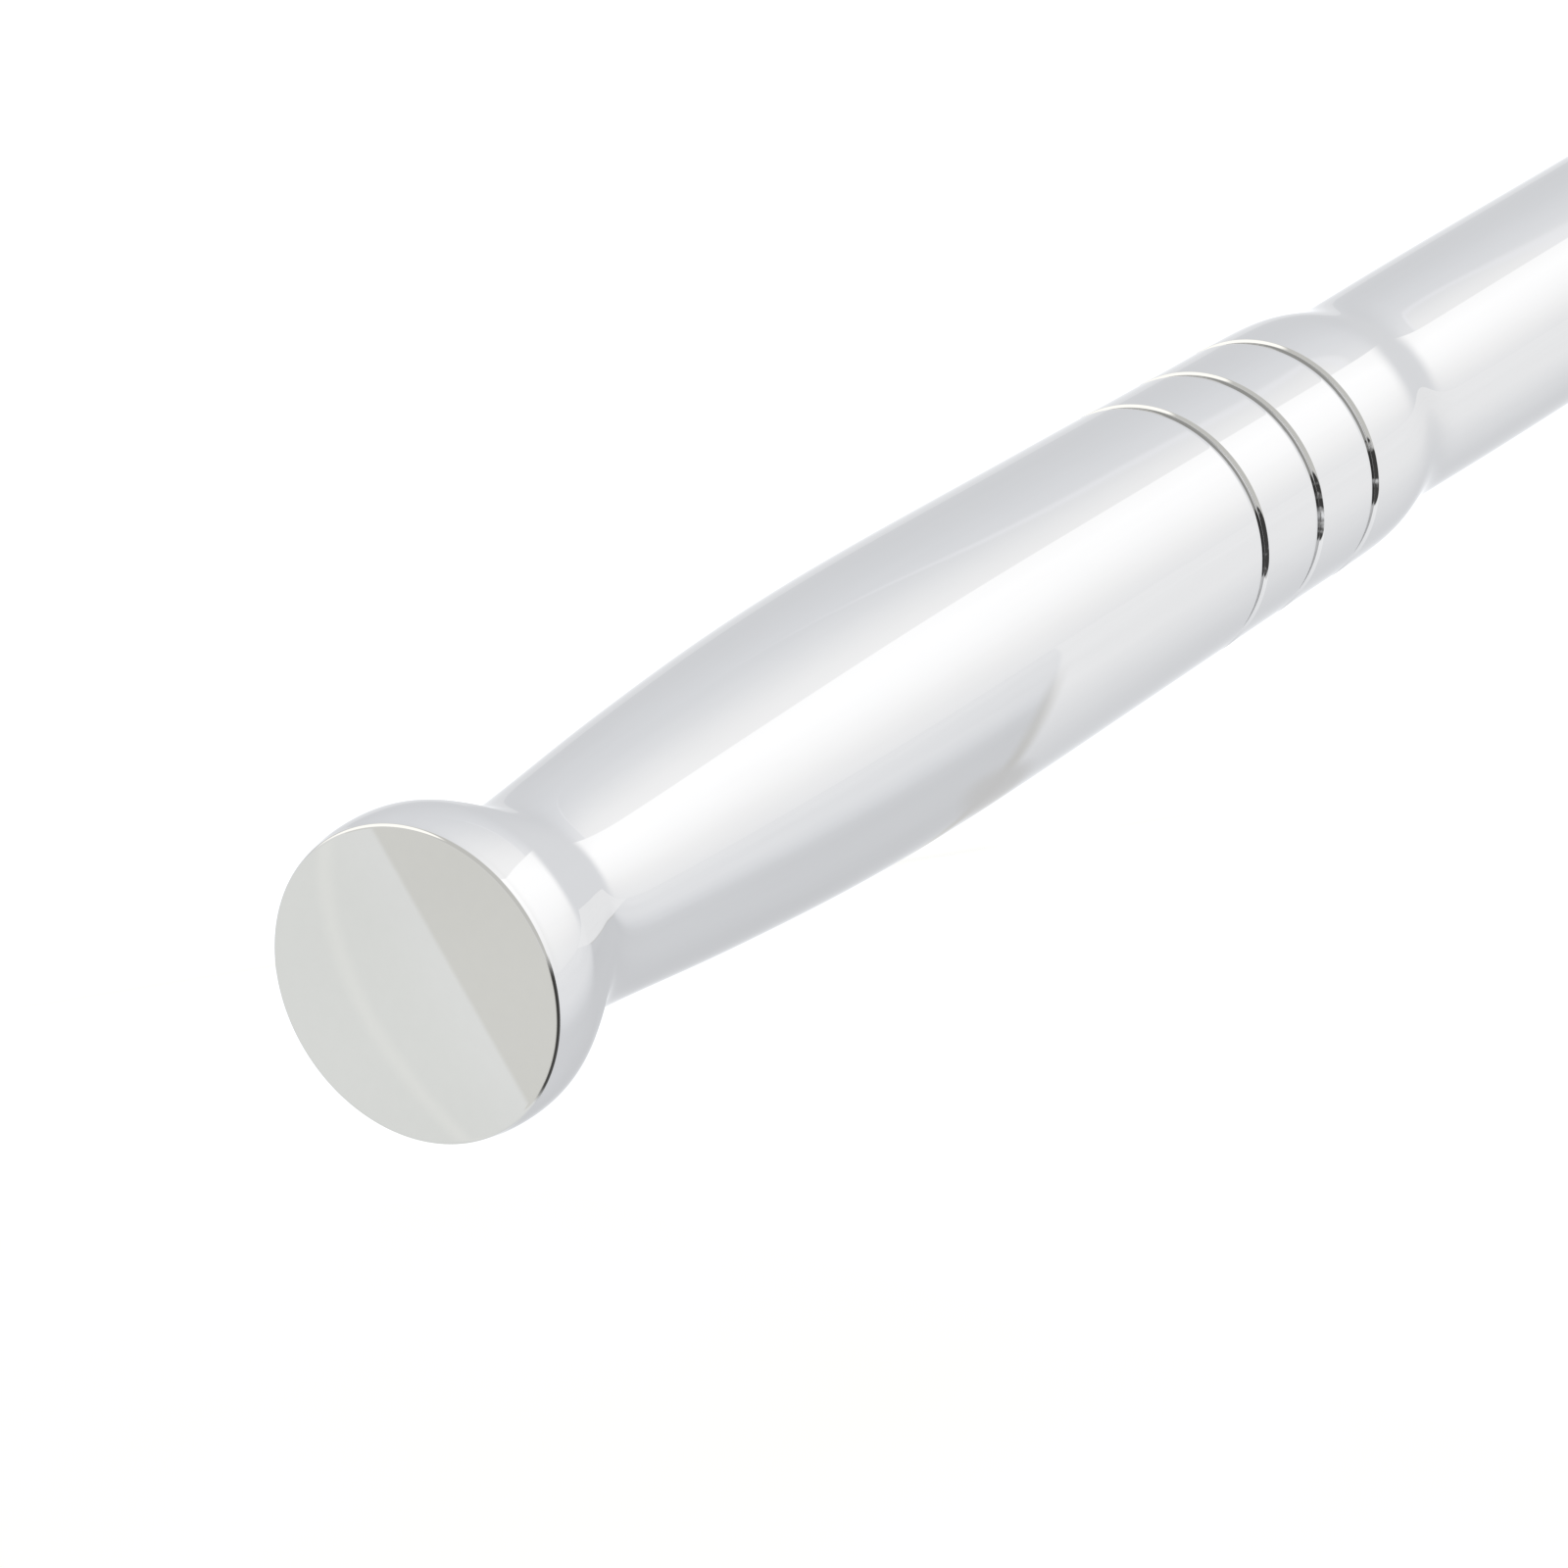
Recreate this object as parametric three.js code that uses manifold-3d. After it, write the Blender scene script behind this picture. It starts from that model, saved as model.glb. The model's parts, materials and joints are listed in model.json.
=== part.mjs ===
// Half-inch-square-drive flex-head ratchet wrench, solid polished handle, millimetres.
// Row frame: +X from the handle's flat end to the head, +Z up. It lies on its flange and its
// selector lever with the drive square upwards, so the origin is the middle of the footprint.
import * as THREE from "three";
import { mergeVertices } from "three/addons/utils/BufferGeometryUtils.js";
import Module from "manifold-3d";

const wasm = await Module();
wasm.setup();

// ---- driving dimensions: x is measured from the handle's flat end, z from the handle's axis ----
const LENGTH = 305; // flat end to the nose of the head
const FLANGE_R = 12.23; // widest part of the button end, and the height of the axis
const END_FLAT_R = 11.65;
const GRIP_SIDES = 36; // facets round the handle
const GROOVES = { first: 103.75, pitch: 9.17, count: 3, slope: 1.2, wall: 0.3, depth: 0.35 };
const SHAFT_R = 8.86;

const PIVOT_X = 238; // flex hinge
const YOKE_HALF_WIDTH = 11.3;
const SLOT_HALF = 5.2;
const TONGUE_HALF = 4.6;
const TONGUE_R = 8.7;
const SLOT_BOTTOM_X = 228.6;

const DRIVE_X = 284; // centre of the drive gear
const HEAD_R = 21;
const NECK = { x: 260.2, r: 11.4 }; // small end of the teardrop
const HEAD_BOTTOM = -9;
const HEAD_TOP = 10;
const PLATE = { inset: 2.6, thickness: 2 };
const PLATE_TOP = HEAD_BOTTOM + PLATE.thickness;
const CAVITY_TOP = 5.6;

const TEETH = 72;
const GEAR_TIP_R = 12.5;
const GEAR_ROOT_R = 11.85;
const GEAR_TOP = 5;
const JOURNAL_TOP = 10.6;
const SQUARE = 12.7;
const SQUARE_TOP = 26;
const BALL = { z: 19.4, r: 2.7, proud: 0.9, travel: 0.8 };
const BUTTON = { face: -11.6, travel: 2.4 };

const SELECTOR_X = 261.5;
const SPINDLE_R = 3.9;
const SELECTOR_ANGLE = THREE.MathUtils.degToRad(-25); // stored turned to one side
const PAWL_X = 268.7;
const PAWL_ANGLE = THREE.MathUtils.degToRad(5); // stored with its lower end in mesh
const LEVER_FACE = -FLANGE_R;
const LEVER_TOP = -9.2;

// ---- helpers ----
const V2 = (x, y) => new THREE.Vector2(x, y);

function solidOf(geometry) {
  const g = geometry.index ? geometry.toNonIndexed() : geometry.clone();
  g.deleteAttribute("normal");
  g.deleteAttribute("uv");
  const merged = mergeVertices(g, 1e-4);
  const mesh = new wasm.Mesh({
    numProp: 3,
    vertProperties: merged.attributes.position.array,
    triVerts: new Uint32Array(merged.index.array),
  });
  return new wasm.Manifold(mesh);
}

function geometryOf(solid) {
  const m = solid.getMesh();
  const g = new THREE.BufferGeometry();
  g.setAttribute("position", new THREE.BufferAttribute(new Float32Array(m.vertProperties), 3));
  g.setIndex(new THREE.BufferAttribute(new Uint32Array(m.triVerts), 1));
  const flat = g.toNonIndexed();
  flat.computeVertexNormals();
  return flat;
}

// Profiles are [along, radius] points from low to high; a ring's profile closes on itself.
function turned(points, sides = 24) {
  return new THREE.LatheGeometry(points.map(([a, r]) => V2(r, a)), sides).rotateX(Math.PI / 2);
}
// Each profile is turned about Z, then laid over to the axis it is wanted on.
const aboutZ = (points, sides) => solidOf(turned(points, sides));
const aboutX = (points, sides) => solidOf(turned(points, sides).rotateY(Math.PI / 2));
const aboutY = (points, sides) => solidOf(turned(points, sides).rotateX(-Math.PI / 2));

const rod = (z0, z1, r, edge = 0) =>
  edge
    ? [[z0, 0], [z0, r - edge], [z0 + edge, r], [z1 - edge, r], [z1, r - edge], [z1, 0]]
    : [[z0, 0], [z0, r], [z1, r], [z1, 0]];
const ring = (z0, z1, inner, outer) => [
  [z0, inner], [z0, outer], [z1, outer], [z1, inner], [z0, inner],
];
const arc = (cx, cy, r, from, to, n) =>
  Array.from({ length: n + 1 }, (_, i) => {
    const a = THREE.MathUtils.degToRad(from + ((to - from) * i) / n);
    return [cx + r * Math.cos(a), cy + r * Math.sin(a)];
  });

// A closed outline raised from z0 to z1, its edges rounded by `edge`.
function raised(shape, z0, z1, edge = 0, steps = 3, curve = 12) {
  const g = new THREE.ExtrudeGeometry(shape, {
    depth: z1 - z0 - 2 * edge,
    bevelEnabled: edge > 0,
    bevelThickness: edge,
    bevelSize: edge,
    bevelOffset: -edge,
    bevelSegments: steps,
    curveSegments: curve,
  });
  return solidOf(g.translate(0, 0, z0 + edge));
}

const polygon = (points) => new THREE.Shape(points.map(([x, y]) => V2(x, y)));
const block = (x0, x1, y0, y1, z0, z1) =>
  raised(polygon([[x0, y0], [x1, y0], [x1, y1], [x0, y1]]), z0, z1);
const at = (solid, x, y = 0, z = 0) => solid.translate([x, y, z]);

// Two circles and their tangents: big end at bx, small end at sx.
function teardrop(bx, br, sx, sr, n = 28) {
  const lean = THREE.MathUtils.radToDeg(Math.asin((br - sr) / Math.abs(bx - sx)));
  const big = arc(bx, 0, br, -90 - lean, 90 + lean, n);
  const small = arc(sx, 0, sr, 90 + lean, 270 - lean, Math.round(n / 2));
  return polygon([...big, ...small]);
}

function coil(turns, r, wire, z0, z1, perTurn = 10) {
  class Helix extends THREE.Curve {
    getPoint(t, out = new THREE.Vector3()) {
      const a = 2 * Math.PI * turns * t;
      return out.set(r * Math.cos(a), r * Math.sin(a), z0 + wire + (z1 - z0 - 2 * wire) * t);
    }
  }
  const section = polygon(arc(0, 0, wire, 0, 300, 5));
  return new THREE.ExtrudeGeometry(section, {
    steps: turns * perTurn,
    extrudePath: new Helix(),
    bevelEnabled: false,
  });
}

const hexSocket = (across, z0, z1) => raised(polygon(arc(0, 0, across / 2, 0, 300, 5)), z0, z1);

// ---- handle ----
// The grip's contour from the flange's crown to the first groove.
const gripContour = new THREE.SplineCurve(
  [
    [2.6, FLANGE_R], [4.4, 12.13], [6.7, 11.43], [9.1, 10.36], [11.2, 9.27], [13.4, 8.62],
    [15.8, 8.45], [19.2, 8.62], [24, 9.05], [30, 9.59], [37.2, 10.13], [45.6, 10.64],
    [54, 10.98], [63, 11.13], [74, 11.08], [87, 10.89], [100, 10.69],
  ].map(([x, r]) => V2(x, r)),
);

function grooveContour() {
  const out = [];
  for (let i = 0; i < GROOVES.count; i++) {
    const x = GROOVES.first + i * GROOVES.pitch;
    const lip = 10.64 - 0.0135 * (x - GROOVES.first); // the grip narrows a little over the grooves
    out.push(
      [x - GROOVES.slope, lip + 0.015],
      [x - 0.45 * GROOVES.slope, lip - 0.4 * GROOVES.depth],
      [x, lip - GROOVES.depth],
      [x + GROOVES.wall, lip],
    );
  }
  return out;
}

const collar = [[126.6, 10.33], [128.6, 10.22], [130.4, 10.04], [131.6, 9.84]];
const shaftContour = new THREE.SplineCurve(
  [
    [132.8, 9.58], [134.6, 9.2], [136.6, 8.92], [140.4, 8.82], [148, 8.9], [158, 8.92],
    [172, 8.88], [188, SHAFT_R],
  ].map(([x, r]) => V2(x, r)),
);
const yokeFlare = Array.from({ length: 6 }, (_, i) => {
  const t = i / 5;
  return [204 + 22 * t, SHAFT_R + 6.4 * t * t * (3 - 2 * t)];
});

const handleProfile = [
  [0, 0],
  [0, END_FLAT_R],
  ...arc(0.3, END_FLAT_R, 0.3, 150, 100, 2),
  ...gripContour.getPoints(24).map((p) => [p.x, p.y]),
  ...grooveContour(),
  ...collar,
  ...shaftContour.getPoints(9).map((p) => [p.x, p.y]),
  ...yokeFlare,
  [252, SHAFT_R + 6.4],
  [252, 0],
];

function makeHandle() {
  const bar = aboutX(handleProfile, GRIP_SIDES);
  // Flat-topped yoke: its outline seen from the side, rounded about the hinge.
  const side = polygon([
    [150, -SHAFT_R - 0.02],
    ...arc(PIVOT_X, 0, SHAFT_R + 0.02, -90, 90, 14),
    [150, SHAFT_R + 0.02],
  ]);
  const yoke = raised(side, -YOKE_HALF_WIDTH, YOKE_HALF_WIDTH, 1.4, 3).rotate([90, 0, 0]);
  const rear = block(-5, 200, -30, 30, -30, 30);
  return bar
    .intersect(rear.add(yoke))
    .subtract(block(SLOT_BOTTOM_X, 260, -SLOT_HALF, SLOT_HALF, -20, 20))
    .subtract(aboutX([[213.5, 0], [213.5, 2.25], [231, 2.25], [231, 0]], 16))
    .subtract(at(aboutY(rod(-13, 0, 3.28)), PIVOT_X))
    .subtract(at(aboutY(rod(-13, -9, 4.62)), PIVOT_X))
    .subtract(at(aboutY(rod(0, 13, 2.8)), PIVOT_X));
}

// ---- flex hinge ----
const makePivotScrew = () =>
  at(
    aboutY([
      [-11.1, 0], [-11.1, 4.1], [-10.7, 4.5], [-9.05, 4.5], [-9.05, 3.2], [5.15, 3.2],
      [5.15, 2.7], [10.9, 2.7], [11.2, 2.4], [11.2, 0],
    ]).subtract(hexSocket(4.2, -12, -9.3).rotate([-90, 0, 0])),
    PIVOT_X,
  );
const makeFlexPlunger = () => aboutX([[222.6, 0], [222.6, 2.1], [227.4, 2.1],
  ...arc(226.9, 0, 2.35, 57, 0, 4).slice(1)], 16);
const makeFlexSpring = () => coil(6, 1.55, 0.34, 213.7, 222.5).rotateY(Math.PI / 2);
const makeFlexWasher = (side) =>
  at(aboutY(side > 0 ? ring(4.65, 5.15, 3.4, 7) : ring(-5.15, -4.65, 3.4, 7)), PIVOT_X);

// ---- head ----
const screwPlaces = [-122, -45, 45, 122].map((deg) => {
  const a = THREE.MathUtils.degToRad(deg);
  return [DRIVE_X + 15.8 * Math.cos(a), 15.8 * Math.sin(a)];
});

function makeHeadBody() {
  const shell = raised(teardrop(DRIVE_X, HEAD_R, NECK.x, NECK.r, 24), HEAD_BOTTOM, HEAD_TOP, 2.2, 3);
  const tongue = raised(
    polygon([...arc(PIVOT_X, 0, TONGUE_R, 90, 270, 16), [258, -8.6], [258, 8.6]]),
    -TONGUE_HALF, TONGUE_HALF, 0.5, 1,
  ).rotate([90, 0, 0]);
  const recess = raised(
    teardrop(DRIVE_X, HEAD_R - PLATE.inset, NECK.x, NECK.r - PLATE.inset),
    HEAD_BOTTOM - 1, PLATE_TOP,
  );
  const pawlPocket = raised(
    polygon([...arc(DRIVE_X, 0, 17.9, 136, 224, 12), [DRIVE_X, 0]]), PLATE_TOP - 0.5, CAVITY_TOP,
  );
  let body = shell
    .add(tongue)
    .subtract(recess)
    .subtract(at(aboutZ(rod(PLATE_TOP - 0.5, CAVITY_TOP, 13.1), 48), DRIVE_X))
    .subtract(pawlPocket)
    .subtract(at(aboutZ(rod(PLATE_TOP - 0.5, CAVITY_TOP, 5.2)), SELECTOR_X))
    .subtract(block(SELECTOR_X, DRIVE_X, -5.1, 5.1, PLATE_TOP - 0.5, CAVITY_TOP))
    .subtract(at(aboutZ([[0, 0], [0, 9.58], [9.5, 9.58], [10.5, 10.6], [10.5, 0]], 48), DRIVE_X))
    .subtract(at(aboutZ(rod(0, 7.8, 1.15), 12), PAWL_X))
    .subtract(at(aboutY(rod(-13, 13, 3.3)), PIVOT_X));
  for (const [x, y] of screwPlaces) {
    body = body.subtract(at(aboutZ(rod(PLATE_TOP - 0.5, -1.2, 1.3), 12), x, y));
  }
  return body;
}

function makeCoverPlate() {
  const inset = PLATE.inset + 0.08;
  let plate = raised(
    teardrop(DRIVE_X, HEAD_R - inset, NECK.x, NECK.r - inset), HEAD_BOTTOM, PLATE_TOP - 0.02, 0.25, 1,
  )
    .subtract(at(aboutZ(rod(-10, -6, 7.48), 48), DRIVE_X))
    .subtract(at(aboutZ(rod(-10, -6, 3.98)), SELECTOR_X));
  for (const [x, y] of screwPlaces) {
    plate = plate.subtract(at(aboutZ([[-9.3, 0], [-9.3, 2.6], [-7.85, 1.3], [-6.5, 1.3], [-6.5, 0]], 12), x, y));
  }
  return plate;
}

const makeCoverScrew = ([x, y]) =>
  at(
    aboutZ([[-8.97, 0], [-8.97, 2.15], [-7.95, 1.22], [-1.7, 1.22], [-1.5, 1], [-1.5, 0]], 12)
      .subtract(hexSocket(1.9, -9.5, -8)),
    x, y,
  );

// ---- drive ----
const gearOutline = () =>
  polygon(
    Array.from({ length: 2 * TEETH }, (_, i) => {
      const a = (Math.PI * i) / TEETH;
      const r = i % 2 ? GEAR_ROOT_R : GEAR_TIP_R;
      return [r * Math.cos(a), r * Math.sin(a)];
    }),
  );

function squareOutline(size, corner) {
  const h = size / 2 - corner;
  return polygon([
    ...arc(h, -h, corner, -90, 0, 3), ...arc(h, h, corner, 0, 90, 3),
    ...arc(-h, h, corner, 90, 180, 3), ...arc(-h, -h, corner, 180, 270, 3),
  ]);
}

function makeDriveGear() {
  const square = raised(squareOutline(SQUARE, 1.3), JOURNAL_TOP - 3, SQUARE_TOP, 1, 2);
  const journals = aboutZ(
    [
      [-9.3, 0], [-9.3, 7.1], [-9, 7.4], [-6.5, 7.4], [-6.5, 9.5], [7.4, 9.5], [7.4, 8.5],
      [8.7, 8.5], [8.7, 9.5], [10, 9.5], [JOURNAL_TOP, 8.9], [JOURNAL_TOP, 0],
    ],
    48,
  );
  const bore = aboutZ(
    [
      [-10, 0], [-10, 3.95], [-9.25, 3.95], [-9.25, 4.4], [-8.62, 4.4], [-8.62, 3.95],
      [-4.4, 3.95], [-4.4, 1.95], [24.6, 1.95], [24.6, 0],
    ],
  );
  const ballHole = at(aboutX(rod(0, 8, BALL.r + 0.12)), 0, 0, BALL.z);
  return at(
    raised(gearOutline(), -6.9, GEAR_TOP).add(journals).add(square).subtract(bore).subtract(ballHole),
    DRIVE_X,
  );
}

const makeThrustWasher = () => at(aboutZ(ring(5.05, 5.5, 9.8, 12), 36), DRIVE_X);
const torus = (r, wire, z, sides = 36) =>
  aboutZ(arc(z, r, wire, 0, 360, 8).map(([a, b], i, all) => (i === 8 ? all[0] : [a, b])).reverse(), sides);
const makeDriveSeal = () => at(torus(9.03, 0.5, 8.05), DRIVE_X);
const makeDetentBall = () =>
  solidOf(
    new THREE.SphereGeometry(BALL.r, 20, 12).translate(
      DRIVE_X + SQUARE / 2 + BALL.proud - BALL.r, 0, BALL.z,
    ),
  );

// ---- quick release ----
const makeReleaseButton = () =>
  at(
    aboutZ([
      [BUTTON.face, 0], [BUTTON.face, 2.6], [BUTTON.face + 0.4, 3], [-8.55, 3], [-8.55, 3.8],
      [-7.65, 3.8], [-7.65, 0],
    ]),
    DRIVE_X,
  );
const makeReleasePin = () =>
  at(
    aboutZ(
      [
        [-7.6, 0], [-7.6, 1.75], [BALL.z - 5.1, 1.75], [BALL.z - BUTTON.travel, 0.88],
        [BALL.z + 0.3, 1.75], [BALL.z + 2, 1.75], [BALL.z + 2.4, 1.35], [BALL.z + 2.4, 0],
      ],
      16,
    ),
    DRIVE_X,
  );
const makeReleaseSpring = () => coil(2, 2.9, 0.42, -7.6, -4.45, 14).translate(DRIVE_X, 0, 0);
const makeButtonRing = () =>
  at(aboutZ(ring(-9.15, -8.72, 3.15, 4.25)).subtract(block(0, 6, -0.7, 0.7, -10, -8)), DRIVE_X);

// ---- pawl and selector ----
// Drawn square to the gear, then rocked about its pin so its lower end is in mesh.
function makePawl() {
  const blank = raised(
    polygon([...arc(DRIVE_X, 0, 16.7, 143, 217, 12), ...arc(DRIVE_X, 0, 11.6, 217, 143, 12)]),
    -6.8, 5.4,
  ).add(block(265.6, 271, -4.2, 4.2, -6.8, 5.4));
  const tooled = (half, turn) => {
    const gear = at(raised(gearOutline(), -8, 7).scale([1.006, 1.006, 1]), DRIVE_X - PAWL_X)
      .rotate([0, 0, turn]);
    return at(gear, PAWL_X).intersect(block(260, 300, half > 0 ? 0 : -20, half > 0 ? 20 : 0, -9, 8));
  };
  const rock = THREE.MathUtils.radToDeg(PAWL_ANGLE);
  const pawl = blank
    .subtract(tooled(1, rock))
    .subtract(tooled(-1, -rock))
    .subtract(at(aboutZ(rod(-9, 8, 12.85), 60), DRIVE_X).intersect(block(260, 300, -4.6, 4.6, -9, 8)))
    .subtract(at(aboutZ(rod(-9, 8, 5.25)), SELECTOR_X))
    .subtract(at(aboutZ(rod(-9, 8, 1.18), 12), PAWL_X));
  return at(at(pawl, -PAWL_X).rotate([0, 0, rock]), PAWL_X);
}
const makePawlPin = () => at(aboutZ(rod(-6.9, 7.6, 1.08, 0.15), 12), PAWL_X);

const turnedSelector = (solid) =>
  at(solid.rotate([0, 0, THREE.MathUtils.radToDeg(SELECTOR_ANGLE)]), SELECTOR_X);

function makeSelectorLever() {
  let lever = raised(teardrop(0, 6.4, -8.2, 3.5, 16), LEVER_FACE, LEVER_TOP, 0.5, 2)
    .add(aboutZ([[-10, 0], [-10, SPINDLE_R], [5.2, SPINDLE_R], [5.4, SPINDLE_R - 0.2], [5.4, 0]]))
    .subtract(aboutZ(ring(-9.95, -8.6, SPINDLE_R, 5.3)))
    .subtract(aboutX(rod(-2.6, 5, 1.5), 12));
  for (const x of [-10.6, -9.1, -7.6]) {
    lever = lever.subtract(at(aboutY(rod(-6, 6, 0.55), 8), x, 0, LEVER_FACE));
  }
  return turnedSelector(lever);
}
const makeSelectorSeal = () => at(torus(4.5, 0.42, -9.47, 24), SELECTOR_X);
const makeSelectorPlunger = () =>
  turnedSelector(aboutX([[0.9, 0], [0.9, 1.35], [3.9, 1.35], [4.5, 0.9], [4.75, 0.4], [4.75, 0]], 12));
const makeSelectorSpring = () =>
  turnedSelector(solidOf(coil(4, 0.98, 0.24, -2.5, 0.8).rotateY(Math.PI / 2)));

// ---- assembly ----
const looks = {
  chrome: { color: 0xd9dde0, metalness: 1, roughness: 0.08 },
  satin: { color: 0xb9bdc1, metalness: 1, roughness: 0.35 },
  steel: { color: 0x8f9499, metalness: 1, roughness: 0.3 },
  rubber: { color: 0x1b1b1d, metalness: 0, roughness: 0.8 },
};
const materials = Object.fromEntries(
  Object.entries(looks).map(([k, v]) => [k, new THREE.MeshStandardMaterial(v)]),
);

const tool = new THREE.Group();
tool.name = "flex_head_ratchet";
tool.position.set(-LENGTH / 2, 0, FLANGE_R);

function put(name, made, look) {
  const geometry = made.isBufferGeometry ? made : geometryOf(made);
  const mesh = new THREE.Mesh(geometry, materials[look]);
  mesh.name = name;
  tool.add(mesh);
}

put("handle", makeHandle(), "chrome");
put("flex_pivot_screw", makePivotScrew(), "steel");
put("flex_plunger", makeFlexPlunger(), "steel");
put("flex_spring", makeFlexSpring(), "steel");
put("flex_washer_left", makeFlexWasher(1), "steel");
put("flex_washer_right", makeFlexWasher(-1), "steel");
put("head_body", makeHeadBody(), "chrome");
put("cover_plate", makeCoverPlate(), "chrome");
screwPlaces.forEach((place, i) => put(`cover_screw_${i + 1}`, makeCoverScrew(place), "steel"));
put("drive_gear", makeDriveGear(), "satin");
put("thrust_washer", makeThrustWasher(), "steel");
put("drive_seal", makeDriveSeal(), "rubber");
put("detent_ball", makeDetentBall(), "steel");
put("release_button", makeReleaseButton(), "chrome");
put("release_pin", makeReleasePin(), "steel");
put("release_spring", makeReleaseSpring(), "steel");
put("button_ring", makeButtonRing(), "steel");
put("pawl", makePawl(), "steel");
put("pawl_pin", makePawlPin(), "steel");
put("selector_lever", makeSelectorLever(), "chrome");
put("selector_seal", makeSelectorSeal(), "rubber");
put("selector_plunger", makeSelectorPlunger(), "steel");
put("selector_spring", makeSelectorSpring(), "steel");

export default tool;
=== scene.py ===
"""Half-inch-drive flex-head ratchet wrench: mirror-chromed forgings in a white studio.

Everything is built in millimetres along the handle's axis, x from its flat end and z from its
axis, and placed in the row frame through the CAD handle's own box.
"""
import json
import math

import bmesh
import bpy
import numpy as np
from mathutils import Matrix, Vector


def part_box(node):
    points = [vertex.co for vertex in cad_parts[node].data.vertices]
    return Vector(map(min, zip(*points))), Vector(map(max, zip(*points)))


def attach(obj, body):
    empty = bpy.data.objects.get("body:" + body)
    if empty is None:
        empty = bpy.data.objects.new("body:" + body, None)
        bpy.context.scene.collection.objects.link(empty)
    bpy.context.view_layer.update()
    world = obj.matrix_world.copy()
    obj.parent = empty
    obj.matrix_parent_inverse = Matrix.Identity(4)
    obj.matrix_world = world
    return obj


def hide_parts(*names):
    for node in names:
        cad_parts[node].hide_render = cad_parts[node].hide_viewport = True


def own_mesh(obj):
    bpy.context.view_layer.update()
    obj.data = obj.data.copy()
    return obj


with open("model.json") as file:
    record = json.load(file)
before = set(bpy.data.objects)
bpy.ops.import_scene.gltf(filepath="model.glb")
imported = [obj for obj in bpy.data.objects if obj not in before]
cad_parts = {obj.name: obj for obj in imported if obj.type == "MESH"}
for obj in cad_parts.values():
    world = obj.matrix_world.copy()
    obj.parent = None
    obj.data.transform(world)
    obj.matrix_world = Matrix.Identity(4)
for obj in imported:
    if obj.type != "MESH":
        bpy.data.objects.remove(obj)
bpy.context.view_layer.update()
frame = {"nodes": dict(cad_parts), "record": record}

MM = 0.001
HANDLE_LOW, HANDLE_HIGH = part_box("handle")
END_X = HANDLE_LOW.x
AXIS_Z = (HANDLE_LOW.z + HANDLE_HIGH.z) / 2

# ---- the tool's dimensions, in millimetres ----
END_FLAT_R = 11.65
END_EDGE, EDGE_SWEEP = 0.3, 83  # the edge's radius and the degrees it runs round
GRIP = [  # contour from behind the end's edge to the yoke's flare
    (1.1, 12.11), (2.6, 12.23), (4.2, 12.15), (5.5, 11.88), (7.3, 11.18), (9.1, 10.36), (11.2, 9.32),
    (13.3, 8.66), (15.6, 8.44), (19.2, 8.6), (24, 9.02), (30, 9.56), (37.2, 10.1),
    (45.6, 10.62), (54, 10.96), (63, 11.11), (74, 11.06), (87, 10.87), (104, 10.62), (120, 10.41),
    (126.5, 10.32), (129, 10.2), (131, 9.96), (133, 9.54), (135, 9.12), (137, 8.88),
    (140, 8.82), (148, 8.88), (158, 8.91), (172, 8.88), (188, 8.86), (204, 8.86),
]
GROOVE_FIRST, GROOVE_PITCH, GROOVE_COUNT = 103.75, 9.17, 3
GROOVE_RAMP, GROOVE_DEPTH = 1.2, 0.22  # a long slope in
GROOVE_FOOT, GROOVE_WALL = 0.12, 0.25  # where a short wall out starts, and its length
FOOT_LINE, EDGE_LINE = (0.17, 0.27), (0.18, 0.16)  # dark lines on the chrome: place and reach
SHAFT_R = 8.86
FLARE = (204.0, 226.0, 6.4)  # where the shaft swells into the yoke, and by how much
YOKE_HALF_WIDTH = 11.3
YOKE_EDGE = 1.5
SLOT_HALF, SLOT_BOTTOM_X = 5.2, 228.6
PIVOT_X = 238.0

TONGUE_HALF, TONGUE_R = 4.6, 8.7
DRIVE_X, HEAD_R = 284.0, 21.0
NECK_X, NECK_R = 260.2, 11.4
HEAD_BOTTOM, HEAD_TOP, HEAD_EDGE = -9.0, 10.0, 2.4
PLATE_INSET, PLATE_TOP = 2.6, -7.0
CAVITY_TOP = 5.6
TEETH, GEAR_TIP_R, GEAR_ROOT_R = 72, 12.5, 11.85
JOURNAL_TOP, SQUARE_TOP, SQUARE = 10.6, 26.0, 12.7
BALL_Z, BALL_R, BALL_PROUD = 19.4, 2.7, 0.9
BUTTON_FACE, BUTTON_TRAVEL = -11.6, 2.4
SELECTOR_X, SPINDLE_R, SELECTOR_ANGLE = 261.5, 3.9, math.radians(-25)
LEVER_FACE, LEVER_TOP = -12.23, -9.2
PAWL_X = 268.7


# ---- camera: the photographer stands behind the flat end, a little to the side ----
CAMERA_AZIMUTH, CAMERA_ELEVATION = math.radians(-58.4), math.radians(22.3)
CAMERA_BACK, CAMERA_RIGHT, CAMERA_UP = 684.9, 25.85, 14.08  # from the middle of the flat end
LENS_MM, SENSOR_MM = 225, 36


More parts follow.
